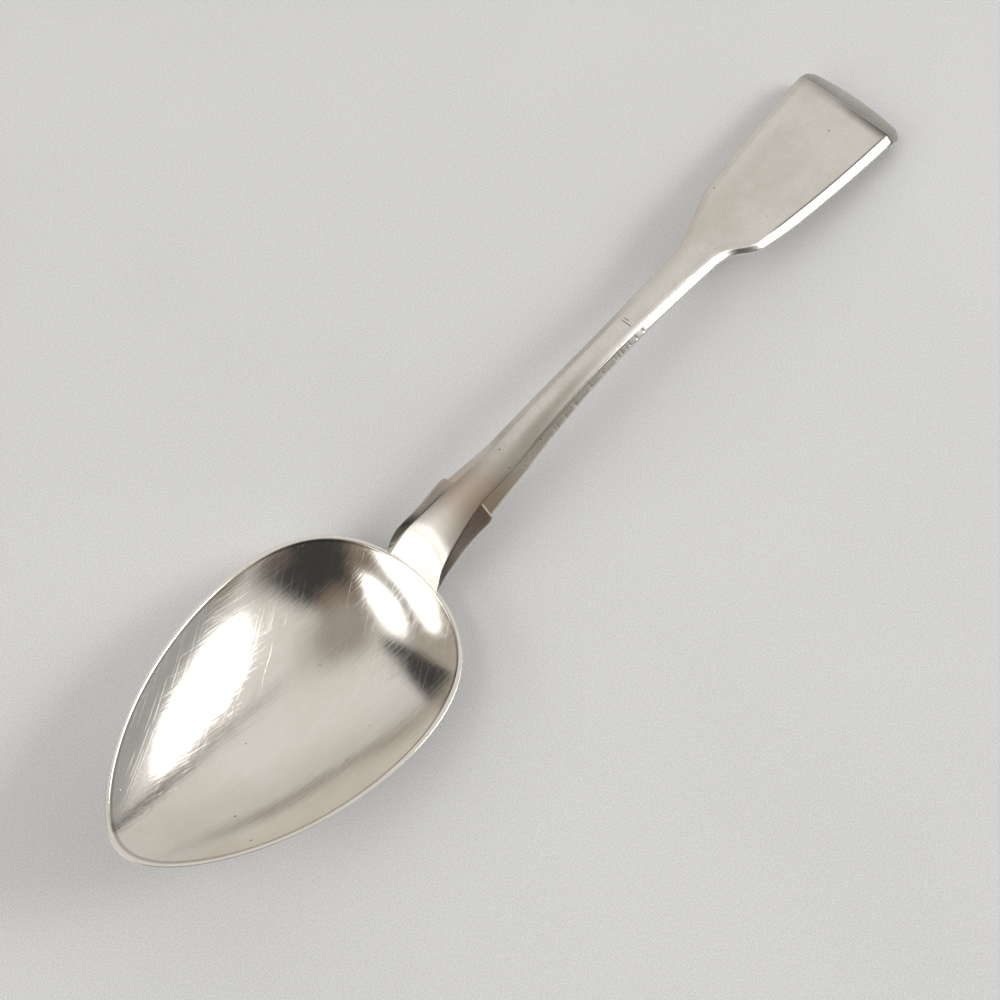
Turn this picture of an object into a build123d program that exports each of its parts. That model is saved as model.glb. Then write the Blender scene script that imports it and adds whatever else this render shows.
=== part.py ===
from build123d import *
import os
from math import asin, cos, exp, pi, radians, sin
import numpy as np

# A silver teaspoon with a fiddle-shaped handle. It lies face up on a table, as it rests by itself:
# on the back of its bowl and on the underside of its turned-down handle end. The bowl's tip points
# to -X and the handle's end to +X. Lengths are millimetres, angles degrees.

# Driving dimensions
LENGTH = 140.0              # bowl tip to handle end, along the table

BOWL_LENGTH = 49.5          # rim, tip to heel
BOWL_WIDTH = 31.75          # rim, at its widest
BOWL_DEPTH = 7.2            # hollow, below the plane of the rim
DEEPEST_DISTANCE = 29.7     # along the rim, from the tip to the deepest place
BOWL_TILT = 12.0            # dip of the rim towards the handle
BOWL_WALL = 0.9             # sheet at the bottom of the bowl
RIM_EDGE = 0.55             # width of the rim's top
RIM_TAPER = 0.24            # narrowing of the rim's outline from heel to tip
RIM_FULLNESS = 0.06         # swelling of the outline near both ends
RIM_POINT = 0.12            # drawing-in of the outline just behind the tip

DROP_RADIUS = 3.7           # rounded end of the tongue under the bowl
DROP_LENGTH = 6.4           # tongue, from the heel of the rim
DROP_THICKNESS = 0.75       # tongue, at its end
DROP_BELLY = 0.35           # rounding of the tongue's back

NECK_LENGTH = 10.5          # heel of the rim to the square lugs
MOUTH_REACH = 2.0           # from the heel of the rim back to where the neck turns into the tongue
NECK_MIDDLE_DISTANCE = 4.0  # heel of the rim to the neck's waist
NECK_MIDDLE_RISE = 2.8      # front of the waist above the heel of the rim
MOUTH_RUN = 3.0             # length over which the front flares to the tongue's width
NECK_SPREAD = 0.12          # widening of each front edge per millimetre, from the lugs down
MOUTH_HOLLOW = 0.4          # hollow across the front where it crosses the heel of the rim
MOUTH_RISE = 0.25           # front above the heel of the rim, where it crosses it
MOUTH_SLOPE = 0.9           # rise of the front per millimetre there
HOLLOW_RUN = 3.0            # length over which the hollow fades
NECK_RISE = 4.7             # front of the lugs above the heel of the rim
NECK_THICKNESS = 3.0        # at the lugs
LUG_WIDTH = 8.6             # across the back of the lugs
LUG_FRONT_WIDTH = 4.2       # front between the lugs
NECK_WAIST_WIDTH = 8.3      # across the back, between the lugs and the bowl
NECK_FOOT_WIDTH = 10.5      # across the back, below the heel of the rim
NECK_FOOT_THICKNESS = 1.9   # at the heel of the rim
NECK_BELLY = 0.6            # rounding of the neck's back
EDGE_WALL = 0.5             # upright edge between the sloping sides and the back

STEM_ROOT_WIDTH = 7.2       # across the back, just above the lugs
STEM_WAIST_WIDTH = 2.85     # front, at the narrowest
STEM_TOP_WIDTH = 3.65       # front, just below the shoulders
STEM_SIDE_WIDTH = 0.77      # each sloping side, seen from above
STEM_SIDE_DROP = 0.5        # each sloping side, from the front down
STEM_ROOT_THICKNESS = 2.7   # just above the lugs
STEM_THICKNESS = 2.4        # at the crest of the arch
ROOT_SIDE_DROP = 1.3        # each sloping side, just above the lugs
ROOT_RUN = 9.0              # length over which the stem's broad root fades
CREST_DISTANCE = 31.6       # heel of the rim to the highest place
CREST_RISE = 6.7            # highest place above the heel of the rim

FIDDLE_LENGTH = 30.6        # shoulders to handle end
SHOULDER_RUN = 4.8          # length over which the shoulders swell
SHOULDER_WIDTH = 8.8        # front, at the shoulders
FIDDLE_END_WIDTH = 13.7     # front, at the crease
FIDDLE_SWELL = 0.3          # outward bow of each edge
FIDDLE_SIDE_WIDTH = 1.1     # each sloping side, seen from above
FIDDLE_SIDE_DROP = 0.7      # each sloping side, from the front down
FIDDLE_THICKNESS = 2.15

TURN_LENGTH = 3.3           # turned-down strip, crease to end
TURN_DROP = 2.0             # fall of the front along that strip
END_BOW = 1.2               # bow of the end, seen from above
END_CORNER = 2.2            # radius of the end's corners
END_SIDE = 0.3              # the corners' arcs meet the sides this far outside them
END_BELLY = 0.15            # rounding of the end's underside
FRONT_CROWN = 0.12          # rounding of the front across the fiddle
STEM_CROWN = 0.28           # rounding of the front across the stem

# Fineness of the lofts
RING_POINT_COUNT = 36
RING_COUNT = 7
FIRST_RING = 0.35           # the smallest ring, as a share of the next one's angle
TONGUE_SECTION_COUNT = 4
NECK_SECTION_COUNT = 12
NECK_CROWDING = 1.6         # the neck's sections crowd towards its mouth
STEM_SECTION_COUNT = 12
FIDDLE_SECTION_COUNT = 5
SAMPLE_COUNT = 400          # places at which a curve is searched or read


def through(points):
    """A smooth curve through a few (place, value) points, as a function of the place."""
    xs, ys = np.array(sorted(points)).T
    step = np.diff(xs)
    slope = np.diff(ys) / step
    count = len(xs)
    system = np.eye(count)
    bend = np.zeros(count)
    for i in range(1, count - 1):
        system[i, i - 1:i + 2] = step[i - 1], 2 * (step[i - 1] + step[i]), step[i]
        bend[i] = 6 * (slope[i] - slope[i - 1])
    bend = np.linalg.solve(system, bend)

    def value(x):
        i = int(np.clip(np.searchsorted(xs, x) - 1, 0, count - 2))
        a, b, h = xs[i + 1] - x, x - xs[i], step[i]
        cubic = (bend[i] * a ** 3 + bend[i + 1] * b ** 3) / (6 * h)
        return float(cubic + (ys[i] / h - bend[i] * h / 6) * a + (ys[i + 1] / h - bend[i + 1] * h / 6) * b)

    return value


def ease(x, start, end):
    """0 before start, 1 after end, and smooth between."""
    t = min(max((x - start) / (end - start), 0.0), 1.0)
    return t * t * (3 - 2 * t)


def fade(x, start, end, run):
    """1 at start, dying away at the rate of run, to 0 at end."""
    rest = exp((start - end) / run)
    return (exp((start - x) / run) - rest) / (1 - rest)


# The bowl, in the plane of its rim: u along it from the tip, y across, depth below it
def half_width(turn, scale=1):
    """Relative half-width of a ring: an ellipse's at the deepest place, the outline's at the rim."""
    c = cos(turn)
    return sin(turn) * (1 + scale * (RIM_FULLNESS * c ** 2 - RIM_TAPER * c - RIM_POINT * c ** 3))


RIM_PEAK = max(half_width(pi * i / SAMPLE_COUNT) for i in range(SAMPLE_COUNT + 1))


def along(turn, scale, margin):
    """Place along the rim's plane, on the ring of that scale."""
    reach = BOWL_LENGTH / 2 - margin
    shift = DEEPEST_DISTANCE - BOWL_LENGTH / 2
    return DEEPEST_DISTANCE - shift * scale ** 2 - reach * scale * cos(turn)


def dish(margin, depth):
    """A dish whose rim lies margin inside the bowl's outline. Its widest section is a circular arc."""
    half = BOWL_WIDTH / 2 - margin
    radius = (half ** 2 + depth ** 2) / (2 * depth)
    sweep = asin(half / radius)
    wires = []
    for ring in range(RING_COUNT + 1):
        angle = sweep * max(ring, FIRST_RING) / RING_COUNT
        scale = radius * sin(angle) / half
        fall = radius * cos(angle) - (radius - depth)
        points = []
        for i in range(RING_POINT_COUNT):
            turn = 2 * pi * i / RING_POINT_COUNT
            y = half * scale * half_width(turn, scale) / RIM_PEAK
            points.append((along(turn, scale, margin), y, -fall))
        wires.append(Wire([Spline(*points, periodic=True)]))
    return Solid.make_loft(wires)


TILT = radians(BOWL_TILT)
outer_depth = BOWL_DEPTH + BOWL_WALL


def back_of_bowl(share):
    """A place on the bowl's back, on its centre line: share 0 is the deepest place, 1 the heel."""
    half = BOWL_WIDTH / 2
    radius = (half ** 2 + outer_depth ** 2) / (2 * outer_depth)
    fall = (radius ** 2 - (share * half) ** 2) ** 0.5 - (radius - outer_depth)
    u = along(pi, share, 0)
    return u * cos(TILT) - fall * sin(TILT), u * sin(TILT) + fall * cos(TILT)


heel_side = np.array([back_of_bowl(i / SAMPLE_COUNT) for i in range(SAMPLE_COUNT + 1)])
TIP_HEIGHT = heel_side[:, 1].max()
HEEL = BOWL_LENGTH * cos(TILT)
HEEL_HEIGHT = TIP_HEIGHT - BOWL_LENGTH * sin(TILT)
on_rim = Location((0, 0, TIP_HEIGHT), (0, BOWL_TILT, 0))

outer = dish(0, outer_depth)
inner = dish(RIM_EDGE, BOWL_DEPTH)
bowl = on_rim * (outer - inner)

# The handle: places along it, from the tip
LUGS = HEEL + NECK_LENGTH
CREST = HEEL + CREST_DISTANCE
SHOULDERS = LENGTH - FIDDLE_LENGTH
CREASE = LENGTH - TURN_LENGTH
DROP_END = HEEL - DROP_LENGTH
TONGUE = DROP_END + DROP_RADIUS
MOUTH = HEEL - MOUTH_REACH
CREST_HEIGHT = HEEL_HEIGHT + CREST_RISE
CREASE_HEIGHT = FIDDLE_THICKNESS + TURN_DROP


def arch(share):
    """Height of the front from the crest, share 0, to the crease, share 1."""
    straight = 1 - share
    wave = (1 + cos(pi * share)) / 2
    return CREASE_HEIGHT + (CREST_HEIGHT - CREASE_HEIGHT) * (straight + wave) / 2


def bowl_back_height(x):
    return TIP_HEIGHT - float(np.interp(x, heel_side[:, 0], heel_side[:, 1]))


NECK_MIDDLE = HEEL + NECK_MIDDLE_DISTANCE
front = through([
    (MOUTH, HEEL_HEIGHT + MOUTH_RISE - MOUTH_SLOPE * MOUTH_REACH),
    (HEEL, HEEL_HEIGHT + MOUTH_RISE),
    (NECK_MIDDLE, HEEL_HEIGHT + NECK_MIDDLE_RISE),
    (LUGS, HEEL_HEIGHT + NECK_RISE),
    (CREST, CREST_HEIGHT),
    (CREST + (CREASE - CREST) / 3, arch(1 / 3)),
    (CREST + (CREASE - CREST) * 2 / 3, arch(2 / 3)),
    (CREASE, CREASE_HEIGHT),
])


def mouth(x):
    """1 where the neck turns into the tongue, under the rim, fading to 0 at the lugs."""
    return fade(x, MOUTH, LUGS, MOUTH_RUN)


def section(x, front_half, back_half, front_height, crown, side_drop, edge_wall, back_height):
    """A cross-section of the handle: crowned front, sloping sides, upright edges and rounded back."""
    edge = front_height - crown
    ridge = edge - side_drop
    foot = ridge - edge_wall
    front_left, front_right = (x, front_half, edge), (x, -front_half, edge)
    ridge_left, ridge_right = (x, back_half, ridge), (x, -back_half, ridge)
    foot_left, foot_right = (x, back_half, foot), (x, -back_half, foot)
    return Wire([
        Bezier(front_right, (x, 0, front_height + crown), front_left),
        Line(front_left, ridge_left),
        Line(ridge_left, foot_left),
        Bezier(foot_left, (x, 0, 2 * back_height - foot), foot_right),
        Line(foot_right, ridge_right),
        Line(ridge_right, front_right),
    ])


# Neck and drop: the flared end of the handle, lapped under the bowl
neck_back_half = through([
    (DROP_END, DROP_RADIUS),
    (TONGUE, DROP_RADIUS),
    (HEEL, NECK_FOOT_WIDTH / 2),
    (NECK_MIDDLE, NECK_WAIST_WIDTH / 2),
    (LUGS, LUG_WIDTH / 2),
])
neck_back = through([
    (DROP_END, bowl_back_height(DROP_END) - DROP_THICKNESS),
    (HEEL, HEEL_HEIGHT - NECK_FOOT_THICKNESS),
    (NECK_MIDDLE, front(NECK_MIDDLE) - NECK_THICKNESS),
    (LUGS, front(LUGS) - NECK_THICKNESS),
])


def neck_belly(x):
    return DROP_BELLY + (NECK_BELLY - DROP_BELLY) * ease(x, TONGUE, LUGS)


def neck_section(x):
    flare = mouth(x)
    edge = LUG_FRONT_WIDTH / 2 + NECK_SPREAD * (LUGS - x)
    front_half = edge + flare * (neck_back_half(MOUTH) - edge)
    crown = STEM_CROWN - fade(x, HEEL, LUGS, HOLLOW_RUN) * (STEM_CROWN + MOUTH_HOLLOW)
    side_drop = front(x) - crown - EDGE_WALL - neck_belly(x) - neck_back(x)
    return section(x, front_half, neck_back_half(x), front(x), crown, side_drop, EDGE_WALL, neck_back(x))


def tongue_section(x):
    """Flat on top, because the bowl is above it, with upright sides and a rounded back."""
    half = neck_back_half(x)
    foot = neck_back(x) + neck_belly(x)
    top_left, top_right = (x, half, HEEL_HEIGHT), (x, -half, HEEL_HEIGHT)
    foot_left, foot_right = (x, half, foot), (x, -half, foot)
    bottom = Bezier(foot_left, (x, 0, 2 * neck_back(x) - foot), foot_right)
    return Wire([Line(top_right, top_left), Line(top_left, foot_left), bottom, Line(foot_right, top_right)])


# Stem: from the lugs to the corners of the shoulders
stem_front_half = through([
    (LUGS, LUG_FRONT_WIDTH / 2),
    ((LUGS + SHOULDERS) / 2, STEM_WAIST_WIDTH / 2),
    (SHOULDERS - SHOULDER_RUN, STEM_TOP_WIDTH / 2),
])
thickness = through([
    (LUGS, STEM_ROOT_THICKNESS),
    (CREST, STEM_THICKNESS),
    (SHOULDERS, FIDDLE_THICKNESS),
    (CREASE, FIDDLE_THICKNESS),
])


def blend(x, stem_value, fiddle_value):
    """What changes from stem to fiddle does so across the shoulders."""
    share = ease(x, SHOULDERS - SHOULDER_RUN / 2, SHOULDERS + SHOULDER_RUN * 3 / 2)
    return stem_value + (fiddle_value - stem_value) * share


def stem_section(x):
    swell = max(x - SHOULDERS + SHOULDER_RUN, 0) / SHOULDER_RUN
    narrow = stem_front_half(min(x, SHOULDERS - SHOULDER_RUN))
    front_half = narrow + (SHOULDER_WIDTH / 2 - narrow) * swell ** 2
    root = fade(x, LUGS, SHOULDERS, ROOT_RUN)
    root_side_width = (STEM_ROOT_WIDTH - LUG_FRONT_WIDTH) / 2
    side = blend(x, STEM_SIDE_WIDTH, FIDDLE_SIDE_WIDTH) + root * (root_side_width - STEM_SIDE_WIDTH)
    drop = blend(x, STEM_SIDE_DROP, FIDDLE_SIDE_DROP) + root * (ROOT_SIDE_DROP - STEM_SIDE_DROP)
    crown = blend(x, STEM_CROWN, FRONT_CROWN)
    back = front(x) - thickness(x)
    return section(x, front_half, front_half + side, front(x), crown, drop, EDGE_WALL, back)


# Fiddle: from the shoulders to the crease, and the turned-down strip beyond it
def fiddle_half(x):
    share = (x - SHOULDERS) / (CREASE - SHOULDERS)
    straight = SHOULDER_WIDTH + (FIDDLE_END_WIDTH - SHOULDER_WIDTH) * share
    return straight / 2 + FIDDLE_SWELL * 4 * share * (1 - share)


def fiddle_section(x):
    half = fiddle_half(x)
    side = blend(x, STEM_SIDE_WIDTH, FIDDLE_SIDE_WIDTH)
    drop = blend(x, STEM_SIDE_DROP, FIDDLE_SIDE_DROP)
    crown = blend(x, STEM_CROWN, FRONT_CROWN)
    return section(x, half, half + side, front(x), crown, drop, EDGE_WALL, front(x) - thickness(x))


def end_section():
    half = fiddle_half(CREASE)
    wall = FIDDLE_THICKNESS - FRONT_CROWN - FIDDLE_SIDE_DROP - END_BELLY
    back_half = half + FIDDLE_SIDE_WIDTH
    return section(LENGTH, half, back_half, FIDDLE_THICKNESS, FRONT_CROWN, FIDDLE_SIDE_DROP, wall, 0)


def loft_between(make, start, end, count, crowding=1):
    """A loft through evenly spaced sections, or through ones that crowd towards the start."""
    places = [start + (end - start) * (i / count) ** crowding for i in range(count + 1)]
    return Solid.make_loft([make(x) for x in places])


tongue = loft_between(tongue_section, DROP_END, MOUTH, TONGUE_SECTION_COUNT)
neck = loft_between(neck_section, MOUTH, LUGS, NECK_SECTION_COUNT, NECK_CROWDING)
stem = loft_between(stem_section, LUGS, SHOULDERS, STEM_SECTION_COUNT)
fiddle = loft_between(fiddle_section, SHOULDERS, CREASE, FIDDLE_SECTION_COUNT)
strip = Solid.make_loft([fiddle_section(CREASE), end_section()])

# The tongue's end is round, and so is the handle's end with its corners
TALL = 2 * CREST_HEIGHT     # cutting tools reach this far above and below the table
round_end = Pos(TONGUE, 0, 0) * Cylinder(DROP_RADIUS, 2 * TALL)
beyond = Pos((TONGUE + LENGTH) / 2, 0, 0) * Box(LENGTH - TONGUE, BOWL_WIDTH, 2 * TALL)
tongue = tongue & (round_end + beyond)

end_half = fiddle_half(CREASE) + FIDDLE_SIDE_WIDTH + END_SIDE
corner = LENGTH - END_BOW
inboard = CREASE - END_CORNER
end_outline = make_face([
    Line((inboard, -end_half), (corner, -end_half)),
    ThreePointArc((corner, -end_half), (LENGTH, 0), (corner, end_half)),
    Line((corner, end_half), (inboard, end_half)),
    Line((inboard, end_half), (inboard, -end_half)),
])
end_outline = fillet(end_outline.vertices().sort_by(Axis.X)[-2:], END_CORNER)
strip = strip & extrude(end_outline, TALL, both=True)

# The bowl, and all that is above it, is clear of the handle
rim_plane = outer.faces().sort_by(Axis.Z)[-1]
above_bowl = Solid.extrude(rim_plane, Vector(0, 0, TALL))
handle = tongue + neck + stem + fiddle + strip - on_rim * (outer + above_bowl)

os.makedirs("parts", exist_ok=True)
for name, solid in (("bowl", bowl), ("handle", handle)):
    export_step(Pos(-LENGTH / 2, 0, 0) * solid, f"parts/{name}.step")
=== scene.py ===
from math import cos, exp, pi, radians, sin, tan

import bpy
import numpy as np
from mathutils import Matrix, Vector
from mathutils.bvhtree import BVHTree


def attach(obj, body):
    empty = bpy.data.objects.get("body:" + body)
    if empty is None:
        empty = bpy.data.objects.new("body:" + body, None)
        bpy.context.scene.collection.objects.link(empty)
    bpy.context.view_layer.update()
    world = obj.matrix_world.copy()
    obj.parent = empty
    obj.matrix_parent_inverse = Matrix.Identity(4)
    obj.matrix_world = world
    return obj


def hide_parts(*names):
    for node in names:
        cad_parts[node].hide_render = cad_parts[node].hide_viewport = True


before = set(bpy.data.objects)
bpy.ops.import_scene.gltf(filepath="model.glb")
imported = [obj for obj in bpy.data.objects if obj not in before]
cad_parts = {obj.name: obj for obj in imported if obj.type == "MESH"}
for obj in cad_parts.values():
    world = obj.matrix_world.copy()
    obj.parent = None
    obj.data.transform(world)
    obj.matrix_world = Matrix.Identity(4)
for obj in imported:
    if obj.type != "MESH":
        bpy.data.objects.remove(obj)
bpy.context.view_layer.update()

# An old silver teaspoon, lying face up on a pale table. Shapes are worked out in millimetres, with x
# from the bowl's tip, and written to the meshes in metres about the middle of the spoon's length.
LENGTH = 140.0
MIDDLE = LENGTH / 2
MM = 0.001

# Bowl
BOWL_LENGTH, BOWL_WIDTH, BOWL_DEPTH = 49.5, 31.75, 7.2
DEEPEST, BOWL_WALL, RIM_EDGE = 29.7, 0.9, 0.55
RIM_TAPER, RIM_FULLNESS, RIM_POINT = 0.24, 0.06, 0.12
TILT = radians(12.0)
RIM_ROUND, RIM_ROUND_LIMIT = 0.17, 0.42     # rounding of the rim's two edges, at most this share of the rim
RIPPLE_REACH = (26.0, 16.0)                 # the hollow's ripples end this far from its deepest place
BROAD_RIPPLE, SLANT_RIPPLE, CROSS_RIPPLE = 0.010, 0.006, 0.004

# Waves of the ripples: radians per millimetre along and across the bowl, and the start
BROAD_WAVE, BROAD_CROSS_WAVE = (0.55, 0.3, 1.0), (0.0, 0.42, 0.4)
SLANT_WAVE, CROSS_WAVE = (0.9, -0.8, 2.0), (0.35, 1.35, 0.0)

# Drop and neck
DROP_RADIUS, DROP_LENGTH, DROP_THICKNESS, DROP_BELLY = 3.7, 6.4, 0.75, 0.35
NECK_LENGTH, MOUTH_REACH = 10.5, 2.0
NECK_FOOT_DISTANCE, NECK_FOOT_RISE = 1.4, 1.46
NECK_BEND_DISTANCE, NECK_BEND_RISE = 2.4, 2.18
NECK_TURN_DISTANCE, NECK_TURN_RISE = 3.4, 2.74
NECK_MIDDLE_DISTANCE, NECK_MIDDLE_RISE, NECK_RISE = 5.0, 3.26, 4.5
NECK_SPREAD, NECK_THICKNESS, NECK_FOOT_THICKNESS, NECK_BELLY = 0.12, 3.0, 1.9, 0.6
LUG_WIDTH, LUG_FRONT_WIDTH, NECK_WAIST_WIDTH, NECK_FOOT_WIDTH = 8.6, 4.2, 8.3, 8.5
NECK_MOUTH_WIDTH, LEFT_SHORT = 9.4, 1.3     # the mouth's left corner is worn short
EDGE_WALL = 0.5             # least height of the handle's edge
INSIDE_WALL = 0.28          # the drop's hidden top lies this deep in the bowl's wall
RIM_COVER = 0.15            # the hidden top stays this far below the rim
HIDDEN_INSET = 0.3          # and ends this far beyond the hollow
MOUTH_RUN = 3.0             # length over which the front flares to the tongue's width
MOUTH_FOLLOW = 5.0          # the front bows like the rim, less and less up to here beyond the heel
MOUTH_SINK = 0.1            # the first ring of the front starts this far below the rim
MOUTH_STEP = 0.06           # the neck's back runs on by this much from ring to ring at the mouth
CROWN_RUN = 4.0             # the neck's front becomes crowned over this length
LIP = 0.25                  # rim left flat between the hollow and the neck's front
WALL_SLOPE = 0.76           # fall of the neck's sides, per millimetre across
UNDERCUT = 0.4              # the neck's back is this much narrower than its sides
LUG_STEP = 0.18             # length of the step from lugs to stem
LUG_ROUND, LUG_ROUND_RUN = 0.25, 1.2        # wear of the lugs' corners
LUG_GAP = 0.08              # the neck's last ring stands this far before the step
NECK_LEAN = 0.7             # the neck stands this far to one side
LEAN_IN, LEAN_OUT, LEAN_END = 2.0, 2.0, 8.0     # full from this far beyond the heel to just before the lugs
HAIR = 0.015                # the neck's front covers the rim by this much

# Roundings of the handle's edges
EDGE_ROUND, CRISP_ROUND = 0.16, 0.04        # front edges: as a rule, and along the lower stem
CRISP_START, CRISP_END = 4.0, 12.0          # the change starts before the lugs, and ends beyond the crest
NECK_SIDE_ROUND, NECK_BACK_ROUND = 0.2, 0.28
STEM_SIDE_ROUND, STEM_BACK_ROUND = 0.18, 0.25
HIDDEN_ROUND, MOUTH_ROUND = 0.1, 0.05
ROUND_LIMIT = 0.4           # a rounding takes at most this share of a side

# Stem and fiddle
STEM_ROOT_WIDTH, STEM_WAIST_WIDTH, STEM_TOP_WIDTH = 7.2, 2.85, 3.65
STEM_SIDE_WIDTH, STEM_SIDE_DROP, LOWER_SIDE_DROP = 0.77, 0.5, 0.8
WHITE_START, WHITE_FULL = 85.0, 94.0     # between these places the stem's sides turn from steep to shallow
STEM_ROOT_THICKNESS, STEM_THICKNESS = 2.7, 2.4
ROOT_SIDE_DROP, ROOT_RUN = 1.55, 9.0
SHOULDER_WEAR, WEAR_PLACE, WEAR_RUN = 0.5, 106.0, 3.0    # the left shoulder is softer than the right
RIGHT_WEAR_RUN = 1.4
LEFT_SIDE_SHARE = 0.6       # the left side falls by this share of the right side's drop
LEFT_SIDE_RUN = 12.0        # length beyond the lugs over which it becomes so
WEAR_IN, WEAR_OUT, WEAR_STOP = 8.0, 12.0, 4.0   # wear sets in beyond the lugs and ends before the crease
SHOULDER_DIP, DIP_PLACE, DIP_LENGTH = 0.1, 0.5, 2.0     # the sides are steeper just above the shoulders
CREST_DISTANCE, CREST_RISE = 31.6, 6.7
FIDDLE_LENGTH, SHOULDER_RUN, SHOULDER_WIDTH = 30.6, 4.8, 8.8
FIDDLE_END_WIDTH, FIDDLE_SWELL = 13.7, 0.3
FIDDLE_SIDE_WIDTH, FIDDLE_SIDE_DROP, FIDDLE_THICKNESS = 1.1, 0.7, 2.15
TURN_LENGTH, TURN_DROP = 3.3, 2.0
END_BOW, END_CORNER, END_SIDE, END_BELLY = 1.2, 2.2, 0.3, 0.15
FRONT_CROWN, STEM_CROWN = 0.12, 0.28
END_ROUND = 0.3             # rounding of the edges at both ends of the handle
BEND_ROUND = 0.45           # half the length over which the crease is rounded
CREASE_DEPTH, CREASE_WIDTH = 0.06, 0.14     # groove along the crease


def through(points):
    """A smooth curve through a few (place, value) points, as a function of the place."""
    xs, ys = np.array(sorted(points)).T
    step = np.diff(xs)
    slope = np.diff(ys) / step
    count = len(xs)
    system, bend = np.eye(count), np.zeros(count)
    for i in range(1, count - 1):
        system[i, i - 1:i + 2] = step[i - 1], 2 * (step[i - 1] + step[i]), step[i]
        bend[i] = 6 * (slope[i] - slope[i - 1])
    bend = np.linalg.solve(system, bend)

    def value(x):
        i = np.clip(np.searchsorted(xs, x) - 1, 0, count - 2)
        a, b, h = xs[i + 1] - x, x - xs[i], step[i]
        cubic = (bend[i] * a ** 3 + bend[i + 1] * b ** 3) / (6 * h)
        return cubic + (ys[i] / h - bend[i] * h / 6) * a + (ys[i + 1] / h - bend[i + 1] * h / 6) * b

    return value


def ease(x, start, end):
    """From 0 at the start to 1 at the end, level at both."""
    t = np.clip((x - start) / (end - start), 0.0, 1.0)
    return t * t * (3 - 2 * t)


def fade(x, start, end, run):
    """From 1 at the start to 0 at the end, most of it within the run."""
    rest = exp((start - end) / run)
    return (np.exp((start - x) / run) - rest) / (1 - rest)


# The bowl's form
CURVE_SAMPLES = 401


def half_width(turn, scale=1.0):
    """The egg shape: how far it reaches across at a turn from the tip, rounder for smaller scales."""
    c = np.cos(turn)
    return np.sin(turn) * (1 + scale * (RIM_FULLNESS * c ** 2 - RIM_TAPER * c - RIM_POINT * c ** 3))


RIM_PEAK = half_width(np.linspace(0, pi, CURVE_SAMPLES)).max()


def dish_point(turn, scale, margin, depth):
    """Points of a dish in the rim's frame: along it from the tip, across, and below it."""
    half = BOWL_WIDTH / 2 - margin
    radius = (half ** 2 + depth ** 2) / (2 * depth)
    fall = np.sqrt(radius ** 2 - (scale * half) ** 2) - (radius - depth)
    u = DEEPEST - (DEEPEST - BOWL_LENGTH / 2) * scale ** 2 - (BOWL_LENGTH / 2 - margin) * scale * np.cos(turn)
    y = half * scale * half_width(turn, scale) / RIM_PEAK
    return np.stack(np.broadcast_arrays(u, y, fall), axis=-1)


OUTER_DEPTH = BOWL_DEPTH + BOWL_WALL
heel_side = dish_point(pi, np.linspace(0, 1, CURVE_SAMPLES), 0, OUTER_DEPTH)
heel_drop = heel_side[:, 0] * sin(TILT) + heel_side[:, 2] * cos(TILT)
heel_place = heel_side[:, 0] * cos(TILT) - heel_side[:, 2] * sin(TILT)
TIP_HEIGHT = heel_drop.max()
HEEL = BOWL_LENGTH * cos(TILT)
HEEL_HEIGHT = TIP_HEIGHT - BOWL_LENGTH * sin(TILT)


def on_table(points):
    """From the rim's frame to the table's."""
    u, y, fall = points[..., 0], points[..., 1], points[..., 2]
    x = u * cos(TILT) - fall * sin(TILT)
    z = TIP_HEIGHT - u * sin(TILT) - fall * cos(TILT)
    return np.stack([x, y, z], axis=-1)


def rim_height(x):
    return TIP_HEIGHT - x * tan(TILT)


def bow(a, corner, b, t):
    """The place at t, from 0 to 1, on a curve from a to b that bends towards the corner."""
    return (1 - t) ** 2 * a + 2 * t * (1 - t) * corner + t ** 2 * b


def corner_round(before, corner, after, count):
    """Points of a small round between two edges, without its ends."""
    t = np.linspace(0, 1, count + 2)[1:-1].reshape(-1, 1, 1)
    return bow(before, corner, after, t)


def mesh_object(name, points, faces):
    mesh = bpy.data.meshes.new(name)
    points = (np.asarray(points) - (MIDDLE, 0, 0)) * MM
    mesh.from_pydata(points.tolist(), [], faces)
    mesh.shade_smooth()
    mesh.validate()
    mesh.update()
    obj = bpy.data.objects.new(name, mesh)
    bpy.context.scene.collection.objects.link(obj)
    return obj


def tube_faces(ring_count, count, closed):
    """Faces between rings of count points each, which go round anticlockwise seen from the last ring."""
    faces = []
    for r in range(ring_count - 1):
        a, b = r * count, (r + 1) * count
        for i in range(count):
            j = (i + 1) % count
            faces.append((a + i, a + j, b + j, b + i))
    if closed:
        faces.append(tuple(range(count))[::-1])
        faces.append(tuple(range((ring_count - 1) * count, ring_count * count)))
    return faces


# Bowl: rings from the middle of the hollow, out to the rim, over it and back to the middle below
AROUND = 240
CENTRE_SCALE, NEAR_RIM, UNDER_START = 0.012, 0.96, 0.95
INNER_FINE, OUTER_FINE = (0.965, 0.991), (0.99, NEAR_RIM)
HOLLOW_RINGS, UNDER_RINGS, FINE_RINGS, RIM_ROUND_RINGS = 60, 44, 6, 4
turns = np.linspace(0, 2 * pi, AROUND, endpoint=False)
inner_scales = np.concatenate([np.linspace(CENTRE_SCALE, NEAR_RIM, HOLLOW_RINGS),
                               np.linspace(*INNER_FINE, FINE_RINGS)])
outer_scales = np.concatenate([np.linspace(*OUTER_FINE, FINE_RINGS),
                               np.linspace(UNDER_START, CENTRE_SCALE, UNDER_RINGS)])


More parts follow.
